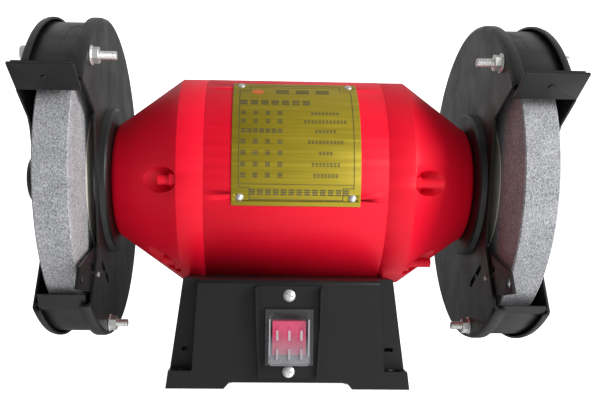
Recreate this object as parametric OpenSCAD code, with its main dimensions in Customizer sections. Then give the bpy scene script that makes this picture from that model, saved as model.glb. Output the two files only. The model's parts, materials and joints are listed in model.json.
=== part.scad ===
// Bench grinder with two guarded wheels on a pressed sheet-steel pedestal.
// Origin: centre of the bench-bolt pattern, on the bench. X along the spindle, front is -Y, Z up.

/* [Overall] */
// Height of the spindle axis above the bench
axis_z = 102; // [101:0.5:106]
// Sideways offset of the motor's middle from the pedestal's middle
motor_x = 3; // [0:0.5:4]

/* [Motor] */
// Outer radius of the motor sleeve
sleeve_r = 54.1; // [53.5:0.1:54.5]
// Half length of the motor sleeve
sleeve_half = 44.5; // [42:0.5:45]
// Where each end shield's straight skirt turns into its cone
skirt_x = 57.5; // [56:0.5:58]
// Outer face of each end shield
shield_x = 93; // [93:0.5:93]
// Radius at which the four tie bolts lie
tie_r = 48; // [47.8:0.1:48.2]
// Width of the nameplate along the motor
plate_w = 62; // [50:1:70]
// Angle of the nameplate's lower edge, from the front horizontal
plate_low = -16; // [-25:1:-10]
// Angle of the nameplate's upper edge
plate_high = 62; // [50:1:70]

/* [Wheels] */
// Radius of each grinding wheel
wheel_r = 75; // [70:0.5:75]
// Thickness of each grinding wheel
wheel_t = 16.5; // [12:0.5:17]
// Inner face of each wheel's inner flange
flange_x = 99.3; // [99.3:0.1:99.8]
// Diameter of the spindle at the wheels
arbor_d = 12.7; // [12.5:0.1:12.9]

/* [Guards] */
// Motor-side face of each inner guard
guard_x = 96.9; // [96.9:0.1:96.9]
// Outer face of each guard cover
cover_x = 126.1; // [126:0.1:127]
// Radius of the guards' rims
rim_r = 84; // [83.8:0.1:85]
// Outer radius of the sheet band between the guards
band_r = 81.5; // [81.3:0.1:81.7]
// Sheet thickness of the guards
sheet = 1.2; // [1:0.1:1.4]
// Tilt of the spark deflector above the horizontal
visor_tilt = 30; // [28:1:32]
// Length of the spark deflector's sheet
visor_len = 16.4; // [15:0.2:18]
// Tilt of the slot that the rest bracket slides along
slot_tilt = 30; // [28:1:32]

/* [Pedestal] */
// Height of the pedestal
base_h = 52; // [51:0.5:53]
// Depth of the pedestal, front to back
base_d = 120; // [112:1:124]
// Width of the pedestal at the bench
base_w = 116; // [112:1:120]
// Width of the pedestal at its top
base_top_w = 101.5; // [98:0.5:104]
// Sheet thickness of the pedestal
base_t = 1.5; // [1.2:0.1:2]
// Height of the foot strip below the corner pockets
foot_h = 8.5; // [7:0.5:10]
// Depth of the corner pockets
pocket_d = 9; // [8:0.5:10]
// Bench-bolt spacing along X
bolt_sx = 102.4; // [100:0.2:104]
// Bench-bolt spacing along Y
bolt_sy = 111; // [108:1:112]
// Radius of the bench-bolt holes
bolt_r = 2.75; // [2.2:0.05:3]

/* [Hidden] */
$fn = 72;

guard_black = [0.10, 0.10, 0.105];
motor_red = [0.80, 0.05, 0.10];
zinc = [0.78, 0.78, 0.76];
steel = [0.62, 0.62, 0.63];
eps = 0.01;

// Spindle line-up, outward from the motor
blotter_t = 0.4;
flange_t = 3;
wheel_x = flange_x + flange_t + blotter_t;
outer_flange_x = wheel_x + wheel_t + blotter_t;
nut_x = outer_flange_x + flange_t;
nut_t = 7;
spindle_end = nut_x + nut_t + 1.2;
flange_r = 26;
blotter_r = 41;

// Bearings
bearing_x = 78.5;
bearing_w = 11;
bearing_or = 17.5;
bearing_ir = 7.5;
ball_r = 2.6;
ball_ring_r = 12.3;
ball_count = 8;
washer_t = 0.8;

// Stator and rotor
stack_half = 25;
stator_bore = 30.5;
stator_r = 51;
rotor_r = 30.1;
slot_count = 16;
stator_slot_w = 4;
stator_slot_d = 9;
tie_bolt_r = 2.5;
tie_angles = [-3.5, -61.5, 118.5, 176.5];
tie_left_end = -66.5;
tie_right_end = 72;
tie_nut_t = 3.2;
scoop_r = 6.25;
scoop_end = 75;

// Guards
guard_bolt_r = 1.95;
// For each guard bolt: its angle, its ring's radius, and how far its free end stands off the guard
guard_bolt_places = [[44, 77.5, 12], [161, 77.5, 12], [278, 77.3, 9.8]];
guard_screw_r = 2.4;
guard_screw_ring = 22.5;
band_t = 1.5;
band_x0 = guard_x + sheet;
band_x1 = cover_x - sheet;
visor_y = -73.6;
visor_z = 33.8;
visor_t = 1.5;
visor_gap = 0.08;
visor_stud_r = 1.4;
visor_out = 4;
visor_mid = (guard_x + cover_x) / 2;
visor_stud_y = -8;
slot_y = -21;
slot_z = -49.3;
guide_y = -39;
guide_z = -49.3;
rest_travel = 8;
bracket_t = 1.5;
bracket_x = guard_x + sheet + 0.15;

// Switch
switch_z = 25.2;
front_y = -base_d / 2;
plate_t = 1.5;
plate_front = front_y - plate_t;
bezel_w = 23;
bezel_h = 26.8;
bezel_t = 2;
bezel_front = plate_front - bezel_t;
rocker_w = 15.6;
rocker_h = 17.4;
rocker_z = 26.2;
rocker_tilt = 7;
rocker_pivot = front_y + 4;
boot_w = 19.6;
boot_h = 24.1;
boot_z = 24.45;
boot_d = 4.2;
boot_t = 0.8;

// --- helpers ---------------------------------------------------------------

module at_motor() { translate([motor_x, 0, axis_z]) children(); }

// Right-hand pieces are drawn with X pointing outward; the left ones are their mirror image.
module on_side(s) {
    at_motor() mirror([s < 0 ? 1 : 0, 0, 0]) children();
}

module on_both() {
    on_side(-1) children();
    on_side(1) children();
}

module xcyl(r, x0, x1) {
    translate([x0, 0, 0]) rotate([0, 90, 0]) cylinder(r = r, h = x1 - x0);
}

module xtube(r1, r0, x0, x1) {
    difference() {
        xcyl(r1, x0, x1);
        xcyl(r0, x0 - 1, x1 + 1);
    }
}

// Turned profile of [radius, x] points about the spindle line.
module turned(points) {
    rotate([0, 90, 0]) rotate_extrude() polygon(points);
}

// Extrusion along X of an outline drawn as [y, z].
module yz(x0, x1) {
    translate([x0, 0, 0]) rotate([90, 0, 90]) linear_extrude(height = x1 - x0) children();
}

// A place on a ring about the spindle line, by angle above the front horizontal.
module on_ring(r, a) {
    translate([0, -r * cos(a), r * sin(a)]) children();
}

// --- pedestal --------------------------------------------------------------

function base_half(z) = base_w / 2 - z * (base_w - base_top_w) / 2 / base_h;
function panel_half(z) = 46.2 - z * 3.3 / base_h;

module base_outline(o, z0) {
    top = base_h - o;
    r = 2;
    intersection() {
        rotate([90, 0, 0]) linear_extrude(height = base_d + 20, center = true)
            polygon([[-base_half(z0) + o, z0], [base_half(z0) - o, z0],
                [base_half(top) - o, top], [-base_half(top) + o, top]]);
        union() {
            translate([-base_w, -base_d / 2 + o, z0 - 1])
                cube([2 * base_w, base_d - 2 * o, base_h - r - z0 + 1]);
            translate([-base_w, -base_d / 2 + r, z0 - 1])
                cube([2 * base_w, base_d - 2 * r, top - z0 + 1]);
            for (s = [-1, 1])
                translate([0, s * (base_d / 2 - r), base_h - r]) xcyl(r - o, -base_w, base_w);
        }
    }
}

module base_pockets(o) {
    for (sx = [0, 1], sy = [0, 1])
        mirror([sx, 0, 0]) mirror([0, sy, 0])
            translate([0, -base_d / 2 + pocket_d + o, 0]) rotate([90, 0, 0])
                linear_extrude(height = pocket_d + o + 1)
                    polygon([[panel_half(foot_h) - o, foot_h - o], [base_w, foot_h - o],
                        [base_w, base_h + 5], [panel_half(base_h + 5) - o, base_h + 5]]);
}

module base_solid(o, z0) {
    difference() {
        base_outline(o, z0);
        base_pockets(o);
        at_motor() xcyl(sleeve_r + o, -base_w, base_w);
    }
}

bush_r = 4.2;

module at_bench_bolts() {
    for (sx = [-1, 1], sy = [-1, 1])
        translate([sx * bolt_sx / 2, sy * bolt_sy / 2, 0]) children();
}

cover_z = 3.4;
cover_t = 1.2;
cover_screw_x = 30;
cover_screw_y = 54;

module at_cover_screws() {
    for (sx = [-1, 1], sy = [-1, 1])
        translate([sx * cover_screw_x, sy * cover_screw_y, 0]) children();
}

module at_motor_screws() {
    at_motor() for (sx = [-1, 1], a = [-12, 12])
        translate([sx * 34, 0, 0]) rotate([a, 0, 0]) children();
}

module at_pocket_slots() {
    for (s = [-1, 1]) translate([s * 49.2, pocket_d - base_d / 2, 17.8]) children();
}

arch_w = 61;
arch_h = 3.1;
gland_x = -28;
gland_z = 22;
gland_r = 7;

module base_shell() {
    color(guard_black) union() {
        difference() {
            base_solid(0, 0);
            base_solid(base_t, -1);
            at_pocket_slots() cube([4.2, 4, 1.8], center = true);
            // long arch in the lower edge, front and back
            rotate([90, 0, 0]) linear_extrude(height = base_d + 2, center = true)
                polygon([[-arch_w / 2, -1], [arch_w / 2, -1], [arch_w / 2, 0],
                    [arch_w / 2 - 2.6, arch_h], [-arch_w / 2 + 2.6, arch_h], [-arch_w / 2, 0]]);
            at_bench_bolts() translate([0, 0, 1]) cylinder(r = bolt_r, h = 20);
            at_motor_screws() translate([0, 0, -60]) cylinder(r = 3, h = 12);
            translate([motor_x, 0, 40]) cylinder(r = 6, h = 12);
            // switch cut-out and its two screw holes
            translate([-9.8, front_y - 1, switch_z - 11.3]) cube([19.6, 4, 22.6]);
            for (z = switch_screw_z)
                translate([0, front_y + 4, z]) rotate([90, 0, 0]) cylinder(r = 1.9, h = 5);
            translate([gland_x, base_d / 2 - 4, gland_z]) rotate([-90, 0, 0])
                cylinder(r = gland_r, h = 6);
        }
        // spacer bushes under the corner pockets, for the bench bolts
        at_bench_bolts() difference() {
            cylinder(r = bush_r, h = foot_h - eps);
            translate([0, 0, -1]) cylinder(r = bolt_r, h = foot_h + 2);
        }
        // tabs that the bottom cover screws to
        for (sy = [0, 1]) mirror([0, sy, 0])
            for (sx = [-1, 1])
                difference() {
                    translate([sx * cover_screw_x - 6, -base_d / 2 + 1, cover_z + cover_t])
                        cube([12, 10, base_t]);
                    translate([sx * cover_screw_x, -cover_screw_y, 0]) cylinder(r = 1.5, h = 12);
                }
    }
}

module base_cover() {
    color("dimgray") difference() {
        translate([-52, -58, cover_z]) cube([104, 116, cover_t]);
        for (sx = [-1, 1], sy = [-1, 1])
            translate([sx * 52, sy * 58, cover_z - 1])
                cube([24, 20, 2 * cover_t + 2], center = true);
        at_cover_screws() cylinder(r = 1.7, h = 12);
        for (i = [-2:2])
            translate([i * 10 - 2, -16, cover_z - 1]) cube([4, 32, cover_t + 2]);
    }
}

module cover_screws() {
    color(zinc) at_cover_screws() {
        translate([0, 0, cover_z - 1.6]) cylinder(r = 3, h = 1.6);
        translate([0, 0, cover_z - eps]) cylinder(r = 1.5, h = 5);
    }
}

// --- switch ----------------------------------------------------------------

switch_screw_z = [8.8, 44.6];
flange_split = 29;

module switch_plate() {
    color(guard_black) difference() {
        union() {
            translate([0, front_y, 0]) rotate([90, 0, 0]) linear_extrude(height = plate_t)
                polygon([[-14.2, 5.4], [14.2, 5.4], [15.6, flange_split], [15.9, 49.2], [-15.9, 49.2],
                    [-15.6, flange_split]]);
            for (s = [0, 1]) mirror([s, 0, 0]) {
                // deeper side flange beside the upper half, shallower one beside the lower half
                translate([0, front_y, 0]) rotate([90, 0, 0]) linear_extrude(height = 5)
                    polygon([[14.2, flange_split], [15.6, flange_split], [15.9, 48.6], [14.5, 48.6]]);
                translate([0, front_y, 0]) rotate([90, 0, 0]) linear_extrude(height = 3.6)
                    polygon([[12.9, 6], [14.2, 6], [15.6, flange_split], [14.2, flange_split]]);
            }
        }
        translate([-9.8, front_y - 3, switch_z - 11.3]) cube([19.6, 4, 22.6]);
        for (z = switch_screw_z)
            translate([0, front_y + 1, z]) rotate([90, 0, 0]) cylinder(r = 1.9, h = 4);
    }
}

module switch_screws() {
    color(zinc) for (z = switch_screw_z) translate([0, plate_front, z]) {
        difference() {
            intersection() {
                translate([0, 2.4, 0]) sphere(r = 4.1);
                rotate([90, 0, 0]) cylinder(r = 2.9, h = 3);
            }
            for (a = [0, 90]) rotate([0, a, 0]) translate([-1.7, -2.2, -0.35]) cube([3.4, 1.2, 0.7]);
        }
        translate([0, 9, 0]) rotate([90, 0, 0]) cylinder(r = 1.9, h = 9);
    }
}

module switch_body() {
    color([0.05, 0.05, 0.05]) difference() {
        union() {
            translate([-bezel_w / 2, bezel_front, switch_z - bezel_h / 2])
                cube([bezel_w, bezel_t, bezel_h]);
            translate([-9.6, plate_front - eps, switch_z - 11.1]) cube([19.2, 24, 22.2]);
        }
        translate([-8.4, bezel_front - 1, rocker_z - rocker_h / 2 - 0.6])
            cube([16.8, 14, rocker_h + 1.2]);
    }
}

module switch_rocker() {
    color("crimson") translate([0, rocker_pivot, rocker_z]) rotate([rocker_tilt, 0, 0]) union() {
        yz(-rocker_w / 2, rocker_w / 2)
            polygon([[1, -4], [-3, -rocker_h / 2 + 1.2], [-9.2, -rocker_h / 2 + 0.6],
                [-8.6, 0], [-9.2, rocker_h / 2 - 0.6], [-3, rocker_h / 2 - 1.2], [1, 4]]);
        xcyl(1.5, -8.1, 8.1);
    }
}

// Rectangle with its corners cut off.
module clipped(w, h, c) {
    polygon([[c - w / 2, -h / 2], [w / 2 - c, -h / 2], [w / 2, c - h / 2], [w / 2, h / 2 - c],
        [w / 2 - c, h / 2], [c - w / 2, h / 2], [-w / 2, h / 2 - c], [-w / 2, c - h / 2]]);
}

module switch_boot() {
    color([0.9, 0.9, 0.92, 0.35]) difference() {
        union() {
            translate([0, bezel_front, boot_z]) rotate([90, 0, 0])
                linear_extrude(height = boot_d) clipped(boot_w, boot_h, 1.4);
            // finger ribs, three in each of two rows
            for (x = [-5.6, 0, 5.6], z = [-6.6, 2.2])
                translate([x, bezel_front - boot_d, boot_z + z]) cube([1.2, 0.8, 5.2], center = true);
        }
        translate([0, bezel_front + 1, boot_z]) rotate([90, 0, 0])
            linear_extrude(height = boot_d - boot_t + 1)
                clipped(boot_w - 2 * boot_t, boot_h - 2 * boot_t, 1);
    }
}

module switch_terminals() {
    color("goldenrod") for (sx = [-1, 1], z = [-7, 0, 7])
        translate([sx * 4.8 - 2.4, plate_front + 24, switch_z + z - 0.4]) cube([4.8, 8, 0.8]);
}

// --- pieces inside the pedestal --------------------------------------------

cap_r = 14;
cap_y = 16;
cap_z = 20;

module run_capacitor() {
    color("whitesmoke") translate([0, cap_y, cap_z]) {
        xcyl(cap_r, -22, 24);
        for (y = [-4, 4]) translate([24, y - 2.4, -0.4]) cube([7, 4.8, 0.8]);
    }
}

module capacitor_clip() {
    color(zinc) difference() {
        union() {
            translate([0, cap_y, cap_z]) xtube(cap_r + 1, cap_r, -6, 6);
            translate([-6, cap_y - 5, cover_z + cover_t]) cube([12, 10, cap_z - cap_r - cover_z - cover_t]);
        }
        translate([0, cap_y, cap_z]) xcyl(cap_r, -7, 7);
    }
}

module terminal_block() {
    color("ivory") difference() {
        translate([-38, -12, cover_z + cover_t]) cube([12, 36, 12]);
        for (i = [0:3]) translate([-32, -7.5 + i * 9, cover_z + cover_t + 5]) cylinder(r = 2, h = 9);
    }
}

module cord_gland() {
    color([0.06, 0.06, 0.06]) translate([gland_x, base_d / 2, gland_z]) rotate([-90, 0, 0])
        difference() {
            union() {
                translate([0, 0, -6]) cylinder(r = gland_r, h = 7);
                cylinder(r = 9.5, h = 3);
                translate([0, 0, 3]) cylinder(r1 = 7, r2 = 5.6, h = 11);
                translate([0, 0, -6]) cylinder(r = 8.6, h = 6 - base_t);
            }
            translate([0, 0, -7]) cylinder(r = 3.6, h = 30);
        }
}

module motor_screws() {
    color(zinc) at_motor_screws() {
        translate([0, 0, -sleeve_r - base_t - 3.4]) cylinder(r = 5, h = 3.4, $fn = 6);
        translate([0, 0, -sleeve_r - base_t - eps]) cylinder(r = 3, h = 4.6);
    }
}

// --- motor -----------------------------------------------------------------

module at_ties() {
    for (a = tie_angles) on_ring(tie_r, a) children();
}

module motor_sleeve() {
    color(motor_red) difference() {
        at_motor() xtube(sleeve_r, stator_r, -sleeve_half, sleeve_half);
        at_motor_screws() translate([0, 0, -60]) cylinder(r = 3, h = 12);
        translate([motor_x, 0, 40]) cylinder(r = 6, h = 15);
        at_motor() for (sx = [-1, 1], a = [plate_low + 4.2, plate_high - 4.2])
            translate([sx * (plate_w / 2 - 4), 0, 0]) rotate([-a, 0, 0]) rotate([90, 0, 0])
                cylinder(r = 1.2, h = 60);
    }
}

module end_shield(seat) {
    color(motor_red) difference() {
        turned([[54, sleeve_half], [54, skirt_x], [31.5, 89.4], [30.6, 91.2], [29, 92.5],
            [27, shield_x], [9, shield_x], [9, seat], [bearing_or, seat], [bearing_or, 77.5],
            [22, 77.5], [22, 82], [26.5, 84], [49.5, 50], [49.5, sleeve_half]]);
        at_ties() xcyl(scoop_r, skirt_x, scoop_end);
        at_ties() xcyl(tie_bolt_r, sleeve_half - 1, skirt_x + 1);
        for (a = [30, 150, 270])
            on_ring(guard_screw_ring, a) xcyl(guard_screw_r, 82, shield_x + 1);
    }
}

module left_end_shield() { on_side(-1) end_shield(bearing_x + bearing_w + washer_t); }
module right_end_shield() { on_side(1) end_shield(bearing_x + bearing_w); }

module tie_bolts() {
    color(motor_red) at_motor() at_ties() {
        xcyl(tie_bolt_r, tie_left_end, tie_right_end);
        for (x = [-skirt_x - tie_nut_t, skirt_x])
            translate([x, 0, 0]) rotate([0, 90, 0]) cylinder(d = 8 / cos(30), h = tie_nut_t, $fn = 6);
    }
}

module nameplate_sector(r, t) {
    yz(-plate_w / 2, plate_w / 2) difference() {
        circle(r = r + t);
        circle(r = r);
        // all but the stretch between the plate's two edges
        polygon([[0, 0], [-200 * cos(plate_low), 200 * sin(plate_low)], [0, -300], [300, -300],
            [300, 300], [0, 300], [-200 * cos(plate_high), 200 * sin(plate_high)]]);
    }
}

module nameplate() {
    color("gold") difference() {
        at_motor() nameplate_sector(sleeve_r, 0.6);
        at_motor() for (sx = [-1, 1], a = [plate_low + 4.2, plate_high - 4.2])
            translate([sx * (plate_w / 2 - 4), 0, 0]) rotate([-a, 0, 0]) rotate([90, 0, 0])
                cylinder(r = 1.2, h = 60);
    }
}

module nameplate_rivets() {
    color(zinc) at_motor() for (sx = [-1, 1], a = [plate_low + 4.2, plate_high - 4.2])
        translate([sx * (plate_w / 2 - 4), 0, 0]) rotate([-a, 0, 0]) rotate([90, 0, 0]) {
            translate([0, 0, stator_r + 0.2]) cylinder(r = 1.2, h = 4);
            translate([0, 0, sleeve_r + 0.62]) intersection() {
                translate([0, 0, -1.1]) sphere(r = 2.2);
                cylinder(r = 1.9, h = 3);
            }
        }
}

module stator_core() {
    color("slategray") at_motor() difference() {
        xtube(stator_r, stator_bore, -stack_half, stack_half);
        for (i = [0:slot_count - 1]) rotate([(i + 0.5) * 360 / slot_count, 0, 0])
            translate([-stack_half - 1, -stator_slot_w / 2, stator_bore - 1])
                cube([2 * stack_half + 2, stator_slot_w, stator_slot_d + 1]);
        at_ties() xcyl(tie_bolt_r + 0.7, -stack_half - 1, stack_half + 1);
        on_ring(stator_r, 90) xcyl(1, -stack_half - 1, stack_half + 1);
    }
}

module stator_windings() {
    color("peru") at_motor() {
        for (i = [0:slot_count - 1]) rotate([(i + 0.5) * 360 / slot_count, 0, 0])
            translate([-stack_half - 1, -stator_slot_w / 2, stator_bore + 0.8])
                cube([2 * stack_half + 2, stator_slot_w, stator_slot_d - 0.8]);
        for (s = [-1, 1]) mirror([s < 0 ? 1 : 0, 0, 0])
            turned([[32, 25.6], [42, 25.6], [43.5, 29], [43.5, 35], [41, 38], [35, 38], [32, 35]]);
    }
}

// --- bearings --------------------------------------------------------------

module bearing_outer_rings() {
    color(steel) on_both() xtube(bearing_or, 15, bearing_x, bearing_x + bearing_w);
}

module bearing_inner_rings() {
    color(steel) on_both() xtube(9.6, bearing_ir, bearing_x, bearing_x + bearing_w);
}

module bearing_balls() {
    color(zinc) on_both() {
        for (i = [0:ball_count - 1]) on_ring(ball_ring_r, i * 360 / ball_count)
            translate([bearing_x + bearing_w / 2, 0, 0]) sphere(r = ball_r);
        xtube(13, 11.6, bearing_x + bearing_w / 2 - 3, bearing_x + bearing_w / 2 + 3);
    }
}

module wave_washer() {
    color(steel) on_side(-1)
        xtube(bearing_or - 0.2, 15, bearing_x + bearing_w, bearing_x + bearing_w + washer_t);
}

// --- rotor and wheels ------------------------------------------------------

module rotor_core() {
    color("gray") at_motor() difference() {
        xcyl(rotor_r, -stack_half, stack_half);
        xcyl(10, -stack_half - 1, stack_half + 1);
    }
}

module rotor_end_rings() {
    color("silver") on_both() {
        xtube(29, 18, stack_half, stack_half + 5);
        for (i = [0:7]) rotate([i * 45, 0, 0])
            translate([stack_half + 5 - eps, -0.9, 20]) cube([6, 1.8, 8]);
    }
}

module spindle() {
    color(steel) at_motor() union() {
        xcyl(10, -bearing_x, bearing_x);
        for (s = [0, 1]) mirror([s, 0, 0]) {
            xcyl(bearing_ir, bearing_x - 1, flange_x);
            xcyl(arbor_d / 2, flange_x - 1, spindle_end);
        }
    }
}

module inner_flanges() {
    color(steel) on_both() difference() {
        xcyl(flange_r, flange_x, flange_x + flange_t);
        xcyl(arbor_d / 2, flange_x - 1, flange_x + flange_t + 1);
        xcyl(flange_r - 7, flange_x + flange_t - 0.8, flange_x + flange_t + 1);
    }
}

module wheel_blotters() {
    color("wheat") on_both() for (x = [wheel_x - blotter_t, wheel_x + wheel_t])
        xtube(blotter_r, arbor_d / 2 + 1, x, x + blotter_t);
}

module wheel(s) {
    c = 0.6;
    color([0.80, 0.81, 0.83]) on_side(s)
        turned([[arbor_d / 2 + 0.05, wheel_x], [wheel_r - c, wheel_x], [wheel_r, wheel_x + c],
            [wheel_r, wheel_x + wheel_t - c], [wheel_r - c, wheel_x + wheel_t],
            [arbor_d / 2 + 0.05, wheel_x + wheel_t]]);
}

module left_wheel() { wheel(-1); }
module right_wheel() { wheel(1); }

module outer_flanges() {
    color(steel) on_both() difference() {
        xcyl(flange_r, outer_flange_x, outer_flange_x + flange_t);
        xcyl(arbor_d / 2, outer_flange_x - 1, outer_flange_x + flange_t + 1);
        xcyl(flange_r - 7, outer_flange_x - 1, outer_flange_x + 0.8);
    }
}

module spindle_nuts() {
    color(zinc) on_both() difference() {
        translate([nut_x, 0, 0]) rotate([0, 90, 0]) cylinder(d = 19 / cos(30), h = nut_t, $fn = 6);
        xcyl(arbor_d / 2, nut_x - 1, nut_x + nut_t + 1);
    }
}

// --- guards ----------------------------------------------------------------

// Front opening of the inner guard, as [y, z] points.
module pan_notch() {
    polygon([[-100, 51], [-73.2, 40.2], [-46, 29], [-37, -33.6], [-54, -64.5], [-75, -102.6],
        [-130, -102.6], [-130, 51]]);
}

// Front opening of the guard cover, outside its round middle lobe.
module cover_notch() {
    difference() {
        polygon([[-110, 59.1], [-71.3, 36.7], [-73.1, 33.5], [-57, 24.4], [-53.8, 20], [-50.8, 11.4],
            [-49, 5], [-30, -28], [-40, -47.8], [-51, -67.5], [-70, -101.5], [-130, -101.5],
            [-130, 59.1]]);
        circle(r = 51.5);
    }
}

module at_guard_bolts() {
    for (p = guard_bolt_places) on_ring(p[1], p[0]) children();
}

module guard_screw_places() {
    for (a = [30, 150, 270]) on_ring(guard_screw_ring, a) children();
}

// A slot along the rest bracket's slide, through the sheet at x0 to x1.
module rest_slot(y, z, half_len, r, x0, x1) {
    translate([0, y, z]) rotate([-slot_tilt, 0, 0]) {
        for (s = [-1, 1]) translate([0, s * half_len, 0]) xcyl(r, x0, x1);
        translate([x0, -half_len, -r]) cube([x1 - x0, 2 * half_len, 2 * r]);
    }
}

module inner_guard(s) {
    x = guard_x;
    color(guard_black) on_side(s) difference() {
        turned([[12, shield_x], [37.2, shield_x], [38.4, shield_x + 1.2], [38.6, x],
            [rim_r - 2.2, x], [rim_r - 0.6, x + 0.7], [rim_r, x + 2.4], [rim_r, x + 6],
            [rim_r - sheet, x + 6], [rim_r - sheet, x + 2.6], [band_r, x + sheet],
            [37.4, x + sheet], [37, shield_x + sheet], [12, shield_x + sheet]]);
        yz(shield_x + 1.5, x + 10) pan_notch();
        at_guard_bolts() xcyl(guard_bolt_r + 0.15, x - 1, x + 3);
        guard_screw_places() xcyl(guard_screw_r, shield_x - 1, shield_x + 3);
        rest_slot(slot_y, slot_z, rest_travel + 1.2, 1.75, x - 1, x + 3);
        translate([0, guide_y, guide_z]) xcyl(1.2, x - 1, x + 3);
    }
}

module left_inner_guard() { inner_guard(-1); }
module right_inner_guard() { inner_guard(1); }

band_start = 26.3;
band_end = 308;

module guard_band(s) {
    // the right lip is the shorter one
    lip_top = s < 0 ? [[-53.4, -58.6], [-51.9, -58.3]] : [[-52.4, -62.2], [-50.9, -61.9]];
    color(guard_black) on_side(s) {
        yz(band_x0, band_x1) difference() {
            circle(r = band_r);
            circle(r = band_r - band_t);
            polygon([[0, 0], [-200 * cos(band_start), 200 * sin(band_start)],
                [-200, 0], [-200 * cos(band_end), 200 * sin(band_end)]]);
        }
        // tab behind the spark deflector
        difference() {
            translate([0, visor_y, visor_z]) rotate([-visor_tilt, 0, 0])
                translate([band_x0 + 0.5, -visor_len + 1, visor_t + visor_gap])
                    cube([band_x1 - band_x0 - 1, visor_len - 0.2, visor_t]);
            visor_stud_place() {
                for (y = [-visor_out - 0.4, 0.4])
                    translate([0, y, 0]) cylinder(r = visor_stud_r + 0.35, h = 8);
                translate([-visor_stud_r - 0.35, -visor_out - 0.4, 0])
                    cube([2 * visor_stud_r + 0.7, visor_out + 0.8, 8]);
            }
        }
        // upturned lip at the lower end
        yz(band_x0 + 2, band_x1 - 2)
            polygon([[-49.6, -66], lip_top[0], lip_top[1], [-47.9, -66.6]]);
    }
}

module left_guard_band() { guard_band(-1); }
module right_guard_band() { guard_band(1); }

module guard_cover(s) {
    x = cover_x;
    color(guard_black) on_side(s) difference() {
        turned([[0, 141.6], [8, 141.4], [11.5, 140.4], [13.4, 138.4], [14.2, 135], [16, 131.6],
            [30, 131], [34.4, 129.4], [37, x + 1.2], [39.4, x],
            [rim_r - 2.2, x], [rim_r - 0.6, x - 0.7], [rim_r, x - 2.4], [rim_r, x - 4.2],
            [rim_r - sheet, x - 4.2], [rim_r - sheet, x - 2.6], [band_r, x - sheet],
            [37.6, x - sheet], [36, x + 0.1], [33.6, 128.2], [29.6, 129.8], [15, 130.4],
            [13, 134.8], [12.3, 137.9], [10.9, 139.3], [7.8, 140.2], [0, 140.4]]);
        yz(x - 10, x + 2) cover_notch();
        at_guard_bolts() xcyl(guard_bolt_r + 0.15, x - 3, x + 2);
    }
}

module left_guard_cover() { guard_cover(-1); }
module right_guard_cover() { guard_cover(1); }

guard_nut_t = 3.2;

module guard_bolts(s) {
    color(zinc) on_side(s) for (p = guard_bolt_places) on_ring(p[1], p[0]) {
        xcyl(guard_bolt_r, guard_x - p[2], cover_x + eps);
        translate([cover_x, 0, 0]) rotate([0, 90, 0]) cylinder(d = 7 / cos(30), h = 2.8, $fn = 6);
    }
}

module left_guard_bolts() { guard_bolts(-1); }
module right_guard_bolts() { guard_bolts(1); }

module guard_nuts(s) {
    washer = 0.9;
    color(zinc) on_side(s) at_guard_bolts() difference() {
        union() {
            xcyl(4.6, guard_x - washer, guard_x);
            translate([guard_x - washer - guard_nut_t, 0, 0]) rotate([0, 90, 0])
                cylinder(d = 7 / cos(30), h = guard_nut_t + eps, $fn = 6);
        }
        xcyl(guard_bolt_r, guard_x - 8, guard_x + 1);
    }
}

module left_guard_nuts() { guard_nuts(-1); }
module right_guard_nuts() { guard_nuts(1); }

module guard_screws(s) {
    head = shield_x + sheet;
    color(zinc) on_side(s) guard_screw_places() {
        xcyl(guard_screw_r, 83, head + eps);
        difference() {
            xcyl(4.2, head, head + 2.8);
            for (a = [0, 90]) rotate([a, 0, 0]) translate([head + 1.4, -0.5, -2.6])
                cube([2, 1, 5.2]);
        }
    }
}

module left_guard_screws() { guard_screws(-1); }
module right_guard_screws() { guard_screws(1); }

// --- spark deflectors ------------------------------------------------------

module visor_stud_place() {
    translate([visor_mid, visor_y, visor_z]) rotate([-visor_tilt, 0, 0])
        translate([0, visor_stud_y, 0]) children();
}

module spark_deflector(s) {
    color(guard_black) on_side(s) difference() {
        translate([0, visor_y, visor_z]) rotate([-visor_tilt, 0, 0])
            translate([guard_x + 0.2, -visor_len, 0])
                cube([cover_x - guard_x - 0.4, visor_len, visor_t]);
        visor_stud_place() translate([0, 0, -1]) cylinder(r = visor_stud_r, h = 4);
    }
}

module left_spark_deflector() { spark_deflector(-1); }
module right_spark_deflector() { spark_deflector(1); }

module deflector_screw(s) {
    tab_top = 2 * visor_t + visor_gap;
    color(guard_black) on_side(s) visor_stud_place() {
        translate([0, 0, -0.5]) cylinder(r = visor_stud_r, h = tab_top + 4.5);
        translate([0, 0, tab_top + 0.05]) cylinder(d = 5.5 / cos(30), h = 2.4, $fn = 6);
    }
}

module left_deflector_screw() { deflector_screw(-1); }
module right_deflector_screw() { deflector_screw(1); }

// --- tool-rest brackets ----------------------------------------------------

module rest_bracket(s) {
    x = bracket_x;
    color(guard_black) on_side(s) difference() {
        yz(x, x + bracket_t)
            polygon([[-26, -33], [-70, -44.5], [-76, -54.5], [-50, -57.5], [-12, -59.5], [-9, -49]]);
        translate([0, slot_y, slot_z]) xcyl(1.45, x - 1, x + 3);
        rest_slot(guide_y, guide_z, rest_travel + 0.6, 2.1, x - 1, x + 3);
        translate([0, -68.6, -50.2]) xcyl(2.6, x - 1, x + 3);
    }
}

module left_rest_bracket() { rest_bracket(-1); }
module right_rest_bracket() { rest_bracket(1); }

module rest_pin(s) {
    color(guard_black) on_side(s) translate([0, slot_y, slot_z]) {
        xcyl(1.45, guard_x + 0.3, bracket_x + bracket_t + eps);
        xcyl(3, bracket_x + bracket_t, bracket_x + bracket_t + 1);
    }
}

module left_rest_pin() { rest_pin(-1); }
module right_rest_pin() { rest_pin(1); }

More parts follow.
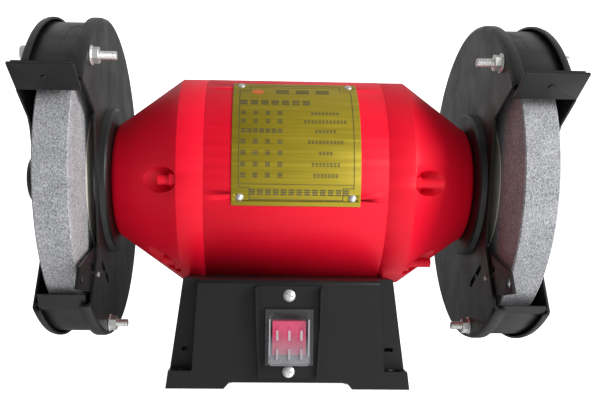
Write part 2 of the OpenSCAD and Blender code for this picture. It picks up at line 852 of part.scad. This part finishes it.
module rest_guide(s) {
    x = bracket_x + bracket_t;
    color(zinc) on_side(s) translate([0, guide_y, guide_z]) {
        xcyl(1.2, guard_x - 0.6, guard_x + sheet + eps);
        xcyl(1.8, guard_x + sheet, x + 0.2);
        xcyl(3.2, x + 0.15, x + 1.1);
    }
}

module left_rest_guide() { rest_guide(-1); }
module right_rest_guide() { rest_guide(1); }

base_shell();
base_cover();
cover_screws();
switch_plate();
switch_screws();
switch_body();
switch_rocker();
switch_boot();
switch_terminals();
run_capacitor();
capacitor_clip();
terminal_block();
cord_gland();
motor_screws();
motor_sleeve();
left_end_shield();
right_end_shield();
nameplate();
nameplate_rivets();
stator_core();
stator_windings();
tie_bolts();
bearing_outer_rings();
bearing_balls();
bearing_inner_rings();
wave_washer();
rotor_core();
rotor_end_rings();
spindle();
inner_flanges();
wheel_blotters();
left_wheel();
right_wheel();
outer_flanges();
spindle_nuts();
left_inner_guard();
right_inner_guard();
left_guard_band();
right_guard_band();
left_guard_cover();
right_guard_cover();
left_guard_bolts();
right_guard_bolts();
left_guard_nuts();
right_guard_nuts();
left_guard_screws();
right_guard_screws();
left_spark_deflector();
right_spark_deflector();
left_deflector_screw();
right_deflector_screw();
left_rest_bracket();
right_rest_bracket();
left_rest_pin();
right_rest_pin();
left_rest_guide();
right_rest_guide();
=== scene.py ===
"""Looks for the bench grinder: materials on every CAD node, and detail pieces built around them."""

import json
import math

import bmesh
import bpy
from mathutils import Matrix, Vector


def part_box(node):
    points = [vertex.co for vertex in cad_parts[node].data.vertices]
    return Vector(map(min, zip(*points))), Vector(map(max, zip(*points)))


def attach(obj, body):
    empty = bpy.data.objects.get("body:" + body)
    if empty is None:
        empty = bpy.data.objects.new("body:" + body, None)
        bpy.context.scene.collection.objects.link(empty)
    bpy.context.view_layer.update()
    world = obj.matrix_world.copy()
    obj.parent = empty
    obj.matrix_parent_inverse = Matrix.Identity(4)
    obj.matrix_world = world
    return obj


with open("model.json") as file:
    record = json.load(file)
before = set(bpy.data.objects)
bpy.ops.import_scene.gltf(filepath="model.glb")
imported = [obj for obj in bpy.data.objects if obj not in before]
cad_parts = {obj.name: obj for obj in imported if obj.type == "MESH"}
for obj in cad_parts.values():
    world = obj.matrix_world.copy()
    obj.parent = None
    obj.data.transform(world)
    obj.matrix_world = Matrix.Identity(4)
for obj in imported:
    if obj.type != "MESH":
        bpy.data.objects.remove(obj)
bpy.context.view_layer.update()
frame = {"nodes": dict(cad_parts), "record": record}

MM = 0.001
SIDES = (("left", -1), ("right", 1))
NODES = frame["nodes"]


# --- where things are, from the frame ---------------------------------------

spin = next(j for j in frame["record"]["behaviour"]["joints"] if j["name"] == "spindle_spin")
AXIS = Vector(spin["pos_m"])


# --- camera, stage and light -------------------------------------------------

# The viewing point, solved from the object's own outlines: millimetres from the motor's middle on the
# spindle line, then yaw, pitch and roll in radians.
CAMERA_PLACE = Vector((-18.05, -409.27, -30.84))
CAMERA_TURN = (0.032, -0.044, 0.012)

# The key light, in metres and watts.
KEY_PLACE = Vector((0.71, -0.50, 0.32))
KEY_TARGET = Vector((0, 0, 0.09))
KEY_SIZE = 0.4
KEY_POWER = 8.6

# The room's own strength, and its brighter patches: the direction of each, the cosines of the angle
# to it where the patch starts and where it is full, and the strength it adds.
ROOM_GLOW = 0.08
GLOWS = (
    ((0.6, -0.3, -0.74), 0.2, 0.95, 1.3),
    ((0.0, 0.5, 0.866), 0.42, 0.8, 0.5),
    ((0.1, -0.97, -0.2), 0.3, 1.0, 0.5),
    ((-0.85, 0.45, -0.25), 0.4, 0.95, 0.3),
)


def add_camera():
    """Stands at the viewing point, with the lens shifted off its middle."""
    yaw, pitch, roll = CAMERA_TURN
    ahead = Vector((math.sin(yaw) * math.cos(pitch), math.cos(yaw) * math.cos(pitch), math.sin(pitch)))
    right = Vector((math.cos(yaw), -math.sin(yaw), 0))
    up = right.cross(ahead)
    side = math.cos(roll) * right + math.sin(roll) * up
    top = -math.sin(roll) * right + math.cos(roll) * up
    data = bpy.data.cameras.new("camera")
    data.lens = 44.57
    data.sensor_width = 36
    data.shift_x = 0.0313
    data.shift_y = 0.103
    data.clip_start = 0.01
    camera = bpy.data.objects.new("camera", data)
    bpy.context.collection.objects.link(camera)
    turn = Matrix((side, top, -ahead)).transposed().to_4x4()
    camera.matrix_world = Matrix.Translation(AXIS + CAMERA_PLACE * MM) @ turn
    bpy.context.scene.camera = camera


def add_key():
    data = bpy.data.lights.new("key", "AREA")
    data.size = KEY_SIZE
    data.energy = KEY_POWER
    lamp = bpy.data.objects.new("key", data)
    bpy.context.collection.objects.link(lamp)
    lamp.location = KEY_PLACE
    lamp.rotation_euler = (KEY_TARGET - KEY_PLACE).to_track_quat("-Z", "Y").to_euler()


def add_stage():
    """Round pale floor that curves up into a wall, so every side is seen against it; in metres."""
    hub, reach, bend, height, steps, around = 0.02, 2.2, 0.6, 2.6, 12, 72
    line = [(hub, 0.0), (reach, 0.0)]
    for i in range(1, steps + 1):
        a = math.pi / 2 * i / steps
        line.append((reach + bend * math.sin(a), bend * (1 - math.cos(a))))
    line.append((reach + bend, height))
    points = [(r * math.cos(2 * math.pi * k / around), r * math.sin(2 * math.pi * k / around), z)
              for r, z in line for k in range(around)]
    hub_cap = ring_caps(len(line), around)[0]
    mesh = bpy.data.meshes.new("floor")
    mesh.from_pydata(points, [], [hub_cap] + ring_sides(len(line), around))
    floor = bpy.data.objects.new("floor", mesh)
    bpy.context.collection.objects.link(floor)
    floor.data.materials.append(plain_white())
    floor.visible_diffuse = False
    floor.visible_glossy = False
    floor.visible_shadow = False


def add_world():
    """Dim room with broad brighter patches: below, above, in front, and behind on the left."""
    world = bpy.data.worlds.new("studio")
    bpy.context.scene.world = world
    world.use_nodes = True
    nodes, links = world.node_tree.nodes, world.node_tree.links
    coords = nodes.new("ShaderNodeTexCoord").outputs["Generated"]
    total = None
    for towards, start, stop, extra in GLOWS:
        dot = nodes.new("ShaderNodeVectorMath")
        dot.operation = "DOT_PRODUCT"
        dot.inputs[1].default_value = towards
        links.new(coords, dot.inputs[0])
        add = nodes.new("ShaderNodeMath")
        add.operation = "ADD"
        if total:
            links.new(total, add.inputs[0])
        else:
            add.inputs[0].default_value = ROOM_GLOW
        links.new(map_range(world.node_tree, dot.outputs["Value"], 0.0, extra, start, stop), add.inputs[1])
        total = add.outputs["Value"]
    links.new(total, nodes["Background"].inputs["Strength"])
    nodes["Background"].inputs["Color"].default_value = (1, 1, 1, 1)


def add_lights():
    add_world()
    add_key()
    bpy.context.scene.view_settings.view_transform = "Standard"


# --- materials ----------------------------------------------------------------

def map_range(tree, value, low, high, start, stop):
    """The value's stretch from start to stop, spread over low to high and held beyond."""
    node = tree.nodes.new("ShaderNodeMapRange")
    for key, number in (("From Min", start), ("From Max", stop), ("To Min", low), ("To Max", high)):
        node.inputs[key].default_value = number
    tree.links.new(value, node.inputs["Value"])
    return node.outputs["Result"]


class Surface:
    """A Principled material with the node helpers that every surface here uses; bumps are in metres."""

    def __init__(self, name, **sockets):
        self.mat = bpy.data.materials.new(name)
        self.mat.use_nodes = True
        self.nodes = self.mat.node_tree.nodes
        self.links = self.mat.node_tree.links
        self.shader = self.nodes["Principled BSDF"]
        for key, value in sockets.items():
            self.shader.inputs[key.replace("_", " ")].default_value = value
        self.coords = self.nodes.new("ShaderNodeTexCoord").outputs["Object"]

    def stretch(self, scale):
        """Object coordinates scaled unevenly, for brushed and turned surfaces."""
        mapping = self.nodes.new("ShaderNodeMapping")
        mapping.inputs["Scale"].default_value = scale
        self.links.new(self.coords, mapping.inputs["Vector"])
        return mapping.outputs["Vector"]

    def noise(self, scale, detail=3.0, roughness=0.5, coords=None):
        node = self.nodes.new("ShaderNodeTexNoise")
        node.inputs["Scale"].default_value = scale
        node.inputs["Detail"].default_value = detail
        node.inputs["Roughness"].default_value = roughness
        self.links.new(coords or self.coords, node.inputs["Vector"])
        return node.outputs["Fac"]

    def cells(self, scale):
        node = self.nodes.new("ShaderNodeTexVoronoi")
        node.inputs["Scale"].default_value = scale
        self.links.new(self.coords, node.inputs["Vector"])
        return node.outputs["Distance"]

    def ramp(self, value, stops):
        node = self.nodes.new("ShaderNodeValToRGB")
        elements = node.color_ramp.elements
        while len(elements) < len(stops):
            elements.new(0.5)
        for element, (place, colour) in zip(elements, stops):
            element.position = place
            element.color = (*colour, 1)
        self.links.new(value, node.inputs["Fac"])
        return node.outputs["Color"]

    def spread(self, value, low, high, start=0.3, stop=0.7):
        return map_range(self.mat.node_tree, value, low, high, start, stop)

    def math(self, operation, a, b):
        node = self.nodes.new("ShaderNodeMath")
        node.operation = operation
        for socket, value in zip(node.inputs, (a, b)):
            if isinstance(value, (int, float)):
                socket.default_value = value
            else:
                self.links.new(value, socket)
        return node.outputs["Value"]

    def put(self, key, value):
        self.links.new(value, self.shader.inputs[key])

    def bump(self, height, strength, distance):
        node = self.nodes.new("ShaderNodeBump")
        node.inputs["Strength"].default_value = strength
        node.inputs["Distance"].default_value = distance
        self.links.new(height, node.inputs["Height"])
        self.links.new(node.outputs["Normal"], self.shader.inputs["Normal"])


def plain_white():
    s = Surface("stage_white", Roughness=0.9, Emission_Strength=1.0, Emission_Color=(1, 1, 1, 1))
    s.put("Base Color", s.ramp(s.noise(2.0), [(0.3, (0.86, 0.86, 0.86)), (0.7, (0.88, 0.88, 0.88))]))
    return s.mat


def painted_black(name, tone, rough, dust, shine):
    """Sprayed enamel: faint orange peel, patchy gloss and a little pale dust."""
    s = Surface(name, Specular_IOR_Level=shine)
    patches = s.noise(22, 4, 0.6)
    s.put("Base Color", s.ramp(patches, [(0.35, [c * 0.86 for c in tone]), (0.62, tone),
                                         (0.85, [c + dust for c in tone])]))
    s.put("Roughness", s.spread(s.noise(60, 3), rough - 0.07, rough + 0.08))
    s.bump(s.noise(1500, 2, 0.55), strength=0.22, distance=0.00012)
    return s.mat


def painted_red():
    s = Surface("red_enamel", Specular_IOR_Level=0.2)
    patches = s.noise(14, 3, 0.6)
    s.put("Base Color", s.ramp(patches, [(0.3, (0.75, 0.003, 0.020)), (0.55, (0.80, 0.004, 0.025)),
                                         (0.8, (0.83, 0.005, 0.030))]))
    s.put("Roughness", s.spread(s.noise(45, 3), 0.40, 0.52))
    s.bump(s.noise(620, 2, 0.5), strength=0.16, distance=0.00015)
    return s.mat


def bright_zinc():
    s = Surface("bright_zinc", Metallic=0.75)
    s.put("Base Color", s.ramp(s.noise(240, 4), [(0.3, (0.60, 0.60, 0.59)), (0.7, (0.80, 0.80, 0.79))]))
    s.put("Roughness", s.spread(s.noise(420, 3), 0.28, 0.42))
    s.bump(s.noise(2600, 2), strength=0.12, distance=0.00005)
    return s.mat


def turned_steel(name, tone, rough):
    """Lathe marks: fine rings along the spindle direction."""
    s = Surface(name, Metallic=1.0)
    rings = s.noise(900, 2, 0.5, s.stretch((1.0, 0.02, 0.02)))
    s.put("Base Color", s.ramp(rings, [(0.3, [c * 0.8 for c in tone]), (0.7, tone)]))
    s.put("Roughness", s.spread(s.noise(160, 3), rough, rough + 0.15))
    s.bump(rings, strength=0.2, distance=0.00008)
    return s.mat


def abrasive():
    """Bonded grain: pale and dark grits in a grey body, open pores between them."""
    s = Surface("abrasive_grain", Roughness=0.92, Specular_IOR_Level=0.25)
    grits = s.cells(1250)
    clouds = s.noise(70, 4, 0.7)
    fine = s.noise(1150, 3, 0.75)
    tone = s.math("ADD", s.math("MULTIPLY", fine, 0.8), s.math("MULTIPLY", clouds, 0.2))
    s.put("Base Color", s.ramp(tone, [(0.36, (0.15, 0.153, 0.163)), (0.47, (0.29, 0.293, 0.308)),
                                      (0.54, (0.36, 0.363, 0.378)), (0.66, (0.55, 0.553, 0.565))]))
    height = s.math("ADD", s.math("MULTIPLY", grits, 0.8), s.math("MULTIPLY", fine, 0.7))
    s.bump(height, strength=0.6, distance=0.00035)
    return s.mat


def brushed_brass():
    """Gold-coloured sheet, brushed along the motor."""
    s = Surface("gold_sheet", Metallic=0.4, Specular_IOR_Level=0.3)
    lines = s.noise(700, 3, 0.6, s.stretch((0.03, 1.0, 1.0)))
    s.put("Base Color", s.ramp(lines, [(0.3, (0.27, 0.21, 0.011)), (0.7, (0.36, 0.28, 0.017))]))
    s.put("Roughness", s.spread(s.noise(90, 3), 0.40, 0.54))
    s.bump(lines, strength=0.12, distance=0.00005)
    return s.mat


def speckled(name, low, high, rough, **sockets):
    """Moulded or printed surface with a fine grain."""
    s = Surface(name, **sockets)
    s.put("Base Color", s.ramp(s.noise(75, 4), [(0.3, low), (0.7, high)]))
    s.put("Roughness", s.spread(s.noise(150, 3), rough - 0.05, rough + 0.07))
    s.bump(s.noise(900, 2), strength=0.15, distance=0.00006)
    return s.mat


def clear_cover():
    """Soft clear plastic, slightly clouded, and cloudier towards its lower end."""
    s = Surface("clear_plastic", IOR=1.45)
    s.put("Base Color", s.ramp(s.noise(120, 3), [(0.3, (0.38, 0.38, 0.41)), (0.7, (0.50, 0.50, 0.54))]))
    s.put("Roughness", s.spread(s.noise(260, 3), 0.10, 0.22))
    split = s.nodes.new("ShaderNodeSeparateXYZ")
    s.links.new(s.coords, split.inputs["Vector"])
    haze = s.spread(split.outputs["Z"], 0.32, 0.03, start=0.015, stop=0.027)
    s.put("Alpha", s.math("ADD", haze, s.spread(s.noise(90, 3), -0.02, 0.03)))
    s.bump(s.noise(500, 2), strength=0.15, distance=0.0001)
    return s.mat


def laminations():
    """Stacked electrical steel: thin sheets edge-on."""
    s = Surface("steel_stack", Metallic=0.8)
    sheets = s.noise(1400, 1, 0.4, s.stretch((1.0, 0.01, 0.01)))
    s.put("Base Color", s.ramp(sheets, [(0.4, (0.12, 0.125, 0.13)), (0.6, (0.34, 0.35, 0.37))]))
    s.put("Roughness", s.spread(s.noise(80, 2), 0.4, 0.55))
    s.bump(sheets, strength=0.3, distance=0.0001)
    return s.mat


def copper_wire():
    """Enamelled wire laid round the core."""
    s = Surface("copper_wire", Metallic=0.9)
    strands = s.noise(520, 2, 0.4, s.stretch((1.0, 1.0, 0.15)))
    s.put("Base Color", s.ramp(strands, [(0.35, (0.30, 0.10, 0.03)), (0.65, (0.62, 0.26, 0.10))]))
    s.put("Roughness", s.spread(s.noise(150, 2), 0.25, 0.4))
    s.bump(strands, strength=0.5, distance=0.0003)
    return s.mat


MATERIALS = {
    "base_paint": painted_black("base_enamel", (0.010, 0.010, 0.0104), 0.42, 0.005, 0.25),
    "guard_paint": painted_black("guard_enamel", (0.009, 0.009, 0.0094), 0.38, 0.004, 0.4),
    "cover_sheet": painted_black("cover_phosphate", (0.05, 0.05, 0.052), 0.6, 0.01, 0.3),
    "motor_paint": painted_red(),
    "zinc_plate": bright_zinc(),
    "bearing_steel": turned_steel("bearing_steel", (0.72, 0.73, 0.74), 0.12),
    "machined_steel": turned_steel("machined_steel", (0.56, 0.56, 0.57), 0.25),
    "lamination_steel": laminations(),
    "copper_winding": copper_wire(),
    "cast_aluminium": speckled("cast_aluminium", (0.55, 0.56, 0.57), (0.70, 0.71, 0.72), 0.4, Metallic=1.0),
    "nameplate_brass": brushed_brass(),
    "terminal_brass": speckled("terminal_brass", (0.60, 0.44, 0.16), (0.74, 0.58, 0.26), 0.3, Metallic=1.0),
    "abrasive": abrasive(),
    "blotter_paper": speckled("blotter_card", (0.60, 0.56, 0.48), (0.72, 0.68, 0.60), 0.85),
    "black_plastic": speckled("black_plastic", (0.022, 0.022, 0.024), (0.034, 0.034, 0.036), 0.38),
    "rocker_red": speckled("red_rocker", (0.56, 0.012, 0.09), (0.64, 0.025, 0.13), 0.3, Coat_Weight=0.2),
    "clear_boot": clear_cover(),
    "capacitor_shell": speckled("capacitor_can", (0.68, 0.68, 0.66), (0.78, 0.78, 0.76), 0.5),
    "gland_rubber": speckled("gland_rubber", (0.02, 0.02, 0.02), (0.035, 0.035, 0.035), 0.6),
}
PRINT_INK = speckled("print_ink", (0.05, 0.045, 0.02), (0.09, 0.08, 0.03), 0.6)
PRINT_DOT = speckled("print_dot", (0.55, 0.10, 0.02), (0.62, 0.14, 0.03), 0.6)
# Near black for the band creases: painted shade, darker than the guard's own paint.
CREASE_SHADE = speckled("crease_painted_shade", (0.004, 0.004, 0.004), (0.007, 0.007, 0.007), 0.5)
RIB_WHITE = speckled("rib_white", (0.50, 0.48, 0.52), (0.60, 0.58, 0.62), 0.4, Alpha=0.6)

# Edge rounding of the CAD nodes, in mm; the other nodes keep their own edges.
EDGES = {
    "base_shell": 0.5, "base_cover": 0.2, "switch_plate": 0.35, "switch_body": 0.5, "switch_rocker": 0.4,
    "motor_sleeve": 0.35, "left_end_shield": 0.6, "right_end_shield": 0.6, "nameplate": 0.12,
    "cord_gland": 0.4, "terminal_block": 0.4, "run_capacitor": 0.8, "spindle_nuts": 0.4,
}
EDGES.update({f"{side}_{part}": width for side, _ in SIDES for part, width in (
    ("inner_guard", 0.35), ("guard_band", 0.25), ("guard_cover", 0.35), ("spark_deflector", 0.3),
    ("rest_bracket", 0.3), ("guard_nuts", 0.25), ("guard_bolts", 0.3), ("rest_pin", 0.25),
    ("deflector_screw", 0.2), ("guard_screws", 0.2))})


def dress_cad():
    """Gives every CAD node its material, and rounds the edges of those that show."""
    slots = {s["node"]: s["material_slot"] for s in frame["record"]["subparts"]}
    for name, node in NODES.items():
        node.data.materials.clear()
        node.data.materials.append(MATERIALS[slots[name]])
        if name in EDGES:
            round_edges(node, EDGES[name])


WELD_GAP = 0.004
EDGE_ANGLE = 28


def round_edges(obj, width):
    """Rounds every edge sharper than EDGE_ANGLE degrees by width, in mm."""
    weld = obj.modifiers.new("weld", "WELD")
    weld.merge_threshold = WELD_GAP * MM
    bevel = obj.modifiers.new("bevel", "BEVEL")
    bevel.width = width * MM
    bevel.segments = 2
    bevel.limit_method = "ANGLE"
    bevel.angle_limit = math.radians(EDGE_ANGLE)
    bevel.harden_normals = True


# --- mesh helpers ---------------------------------------------------------------

def new_piece(name, shape, material, body="root"):
    """A piece from its (points, faces), with its faces turned outwards."""
    points, faces = shape
    mesh = bpy.data.meshes.new(name)
    mesh.from_pydata(points, [], faces)
    obj = bpy.data.objects.new(name, mesh)
    bpy.context.collection.objects.link(obj)
    obj.data.materials.append(material)
    fix = bmesh.new()
    fix.from_mesh(mesh)
    bmesh.ops.recalc_face_normals(fix, faces=fix.faces)
    fix.to_mesh(mesh)
    fix.free()
    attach(obj, body)


def join(shapes):
    """Several (points, faces) as one."""
    points, faces = [], []
    for more_points, more_faces in shapes:
        start = len(points)
        points += more_points
        faces += [tuple(i + start for i in face) for face in more_faces]
    return points, faces


def ring_sides(rings, around):
    """Faces between neighbouring rings, each of around points, numbered ring after ring."""
    return [(i * around + k, i * around + (k + 1) % around, (i + 1) * around + (k + 1) % around,
             (i + 1) * around + k) for i in range(rings - 1) for k in range(around)]


def ring_caps(rings, around):
    """Faces that close the first and the last ring."""
    last = (rings - 1) * around
    return [tuple(range(around)), tuple(range(last, last + around))]


def solid(points, around):
    """The closed (points, faces) of a run of rings."""
    rings = len(points) // around
    return points, ring_sides(rings, around) + ring_caps(rings, around)


def lathe(profile, centre, steps):
    """Closed solid turned about a line along X through centre; profile is [(x, radius)] in mm."""
    cx, cy, cz = centre
    points = []
    for x, r in profile:
        for i in range(steps):
            a = 2 * math.pi * i / steps
            points.append((cx + x * MM, cy + r * MM * math.cos(a), cz + r * MM * math.sin(a)))
    return solid(points, steps)


def on_ring(x, angle, radius):
    """A point on a ring about the spindle: mm along it, and degrees above the front horizontal."""
    a = math.radians(angle)
    return (AXIS.x + x * MM, AXIS.y - radius * MM * math.cos(a), AXIS.z + radius * MM * math.sin(a))


def curved_patch(x0, x1, a0, a1, r0, r1):
    """A thin block bent round the spindle line, with a step about every three degrees."""
    steps = max(1, round(abs(a1 - a0) / 3))
    points = []
    for i in range(steps + 1):
        a = a0 + (a1 - a0) * i / steps
        points += [on_ring(x0, a, r0), on_ring(x1, a, r0), on_ring(x1, a, r1), on_ring(x0, a, r1)]
    return solid(points, 4)


def box(low, high):
    """A plain block between two corners, in millimetres of the shared frame."""
    corners = ((low[1], low[2]), (low[1], high[2]), (high[1], high[2]), (high[1], low[2]))
    return solid([Vector((x, y, z)) * MM for x in (low[0], high[0]) for y, z in corners], 4)


# --- nameplate print --------------------------------------------------------------

# Places on the plate are millimetres along the spindle from the motor's middle, and degrees above the
# front horizontal. The print is sunk a little into the plate, which has its face at PLATE_R.
PLATE_R = 54.7
PRINT_R0 = PLATE_R - 0.02
PRINT_R1 = PLATE_R + 0.06
DEGREES_PER_MM = math.degrees(1 / PLATE_R)

# The border line, its steps inwards at the rivets, and the finer line above the bottom row.
BORDER_X = 27.8
BORDER_LOW, BORDER_HIGH = -12.8, 58.5
NOTCH_X, NOTCH_A = 5.2, 6.0
LINE_W = 0.35
FINE_LINE_A = -5.2
FINE_LINE_SHARE = 0.7

# The round mark: its middle, its half width and half height in mm, its number of corners, and how far
# it stands above the other print.
DOT_X, DOT_A = -18.6, 51.0
DOT_HALF_W, DOT_HALF_H = 2.9, 2.2
DOT_CORNERS = 24
DOT_RAISE = 0.02

# Rows of equal blocks, as the first block's middle, the step, the count, the row's angle, and the
# blocks' width and height.
HEAD_ROWS = ((-6.5, 10, 3, 51.3, 6.6, 3.6), (-25.5, 5.1, 7, 41.4, 3.6, 3.2))
FOOT_ROW = (-21, 3.75, 13, -9.0, 2.6, 2.8)

# The rating rows: the angle of each, and how many blocks stand for its label and for its value.
# Labels are spread over LABEL_SPAN from LABEL_X, and values are set about VALUE_X.
RATING_ROWS = ((33.7, 4, 8), (28.3, 4, 12), (22.6, 7, 6), (16.6, 4, 10), (10.7, 4, 4), (4.9, 4, 8),
               (-0.6, 4, 7))
LABEL_X, LABEL_SPAN, LABEL_SIZE = -25.6, 17.7, 2.3
VALUE_X, VALUE_STEP, VALUE_W, VALUE_H = 14, 1.75, 1.15, 1.7


def print_border():
    """Thin line round the plate, stepped inwards at the four rivets, and the fine line inside it."""
    line_a = LINE_W * DEGREES_PER_MM
    x_in, low_in, high_in = BORDER_X - NOTCH_X, BORDER_LOW + NOTCH_A, BORDER_HIGH - NOTCH_A
    bars = [(-BORDER_X, BORDER_X, FINE_LINE_A, FINE_LINE_A + line_a * FINE_LINE_SHARE)]
    for s in (-1, 1):
        bars.append((s * BORDER_X, s * (BORDER_X - LINE_W), low_in, high_in))
        for a0, a1 in ((BORDER_LOW, low_in), (high_in, BORDER_HIGH)):
            bars.append((s * x_in, s * (x_in - LINE_W), a0, a1))
        for a in (low_in, high_in):
            bars.append((s * x_in, s * BORDER_X, a - line_a / 2, a + line_a / 2))
    for a in (BORDER_LOW, BORDER_HIGH):
        bars.append((-x_in, x_in, a - line_a / 2, a + line_a / 2))
    return [curved_patch(min(x0, x1), max(x0, x1), a0, a1, PRINT_R0, PRINT_R1) for x0, x1, a0, a1 in bars]


def print_block(x, angle, width, height):
    """A plain block of print: three short bars, with no letter in it."""
    rows, half_bar = (-0.38, 0.0, 0.38), 0.11
    a = height * DEGREES_PER_MM
    return [curved_patch(x - width / 2, x + width / 2, angle + (row - half_bar) * a,
                         angle + (row + half_bar) * a, PRINT_R0, PRINT_R1) for row in rows]


def print_row(first, step, count, angle, width, height):
    return [bar for i in range(count) for bar in print_block(first + i * step, angle, width, height)]


def print_rows():
    rows = [*HEAD_ROWS, FOOT_ROW]
    for angle, labels, values in RATING_ROWS:
        rows.append((LABEL_X, LABEL_SPAN / (labels - 1), labels, angle, LABEL_SIZE, LABEL_SIZE))
        first = VALUE_X - (values - 1) / 2 * VALUE_STEP
        rows.append((first, VALUE_STEP, values, angle, VALUE_W, VALUE_H))
    return [bar for row in rows for bar in print_row(*row)]


def print_dot():
    points = []
    for r in (PRINT_R0, PRINT_R1 + DOT_RAISE):
        for i in range(DOT_CORNERS):
            a = 2 * math.pi * i / DOT_CORNERS
            height = DOT_HALF_H * math.sin(a) * DEGREES_PER_MM
            points.append(on_ring(DOT_X + DOT_HALF_W * math.cos(a), DOT_A + height, r))
    return solid(points, DOT_CORNERS)


def add_print():
    new_piece("nameplate_print", join(print_border() + print_rows()), PRINT_INK)
    new_piece("nameplate_dot", print_dot(), PRINT_DOT)


# --- fasteners ------------------------------------------------------------------------

# For each guard bolt: its angle, its ring's radius, and how far short of the longest one it ends, in mm.
GUARD_BOLTS = ((44, 77.5, 0), (161, 77.5, 0), (278, 77.3, 2.2))

# The rolled thread: its pitch, its crest, root and tip radii, and where its first turn starts.
PITCH, CREST_R, ROOT_R, TIP_R = 0.7, 2.06, 1.78, 1.35
FIRST_TURN = 0.4
THREAD_CORNERS = 32


def thread_profile(length):
    """The thread's outline from just past the bolt's end inwards, each turn with a narrow crest."""
    profile = [(-0.1, TIP_R), (FIRST_TURN - 0.1, ROOT_R)]
    for i in range(int((length - FIRST_TURN) / PITCH)):
        x = FIRST_TURN + i * PITCH
        profile += [(x, ROOT_R), (x + PITCH * 0.45, CREST_R)]
        profile += [(x + PITCH * 0.55, CREST_R), (x + PITCH, ROOT_R)]
    return profile


def add_guard_threads():
    """Rolled threads on the free ends of the three long bolts of each guard."""
    for side, s in SIDES:
        nut_low, nut_high = [Vector(p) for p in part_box(f"{side}_guard_nuts")]
        bolt_low, bolt_high = [Vector(p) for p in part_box(f"{side}_guard_bolts")]
        free = bolt_low.x if s > 0 else bolt_high.x
        stop = nut_low.x if s > 0 else nut_high.x
        shapes = []
        for angle, ring, short in GUARD_BOLTS:
            profile = thread_profile(abs(stop - free) / MM - short)
            end = Vector(on_ring(0, angle, ring))
            end.x = free + s * short * MM
            shapes.append(lathe([(s * x, r) for x, r in profile], end, THREAD_CORNERS))
        new_piece(f"{side}_guard_bolt_threads", join(shapes), MATERIALS["zinc_plate"])


# --- guard and switch details ----------------------------------------------------------

# The shallow crease across each band: millimetres out from the motor's middle, and degrees; then half
# its width, its slant in degrees per millimetre, and how deep it starts and how proud it ends.
CREASE = ((106.3, 64.5), (107.0, 62.2), (109.4, 59.2), (110.1, 54.5), (110.0, 50.5), (111.3, 45.8))
CREASE_HALF_W = 0.24
CREASE_SLANT = 0.35
CREASE_DEPTH, CREASE_RISE = 0.25, 0.06
BAND_R = 81.5

# The ribs on the switch cover, in mm. Finger ribs: x, z from the middle, half width, half height, and
# how far their front and back lie behind the cover's front.
RIB_X = (-5.6, 0, 5.6)
RIB_Z = (-6.6, 2.2)
RIB_HALF_W, RIB_HALF_H = 0.5, 2.3
RIB_FRONT, RIB_BACK = 0.02, 0.8
# Side ribs: how far in from each side, half width, lower and upper ends from the middle, and the same
# front and back.
SIDE_RIB_IN, SIDE_RIB_HALF_W = 0.7, 0.3
SIDE_RIB_LOW, SIDE_RIB_HIGH = -7.5, 9.5
SIDE_RIB_FRONT, SIDE_RIB_BACK = 0.42, 1.6


def add_creases():
    """A shallow pressed line across each guard band, as a ribbon that just breaks its surface; its colour is
    darker than the band's paint, as painted shade in the crease.
    """
    low, high = BAND_R - CREASE_DEPTH, BAND_R + CREASE_RISE
    section = ((-CREASE_HALF_W, low), (CREASE_HALF_W, low), (CREASE_HALF_W, high), (-CREASE_HALF_W, high))
    for side, s in SIDES:
        points = [on_ring(s * (x + dx), a - dx * CREASE_SLANT, r) for x, a in CREASE for dx, r in section]
        new_piece(f"{side}_band_crease_shade", solid(points, 4), CREASE_SHADE)


def add_boot_ribs():
    """The raised finger ribs on the switch cover, whiter where the soft plastic is thick."""
    low, high = [Vector(p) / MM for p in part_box("switch_boot")]
    middle = (low.z + high.z) / 2
    shapes = [box((x - RIB_HALF_W, low.y + RIB_FRONT, middle + z - RIB_HALF_H),
                  (x + RIB_HALF_W, low.y + RIB_BACK, middle + z + RIB_HALF_H)) for x in RIB_X for z in RIB_Z]
    shapes += [box((x - SIDE_RIB_HALF_W, low.y + SIDE_RIB_FRONT, middle + SIDE_RIB_LOW),
                   (x + SIDE_RIB_HALF_W, low.y + SIDE_RIB_BACK, middle + SIDE_RIB_HIGH))
               for x in (low.x + SIDE_RIB_IN, high.x - SIDE_RIB_IN)]
    new_piece("boot_ribs", join(shapes), RIB_WHITE)


# --- build ------------------------------------------------------------------------------

add_camera()
add_stage()
add_lights()
dress_cad()
add_print()
add_guard_threads()
add_creases()
add_boot_ribs()
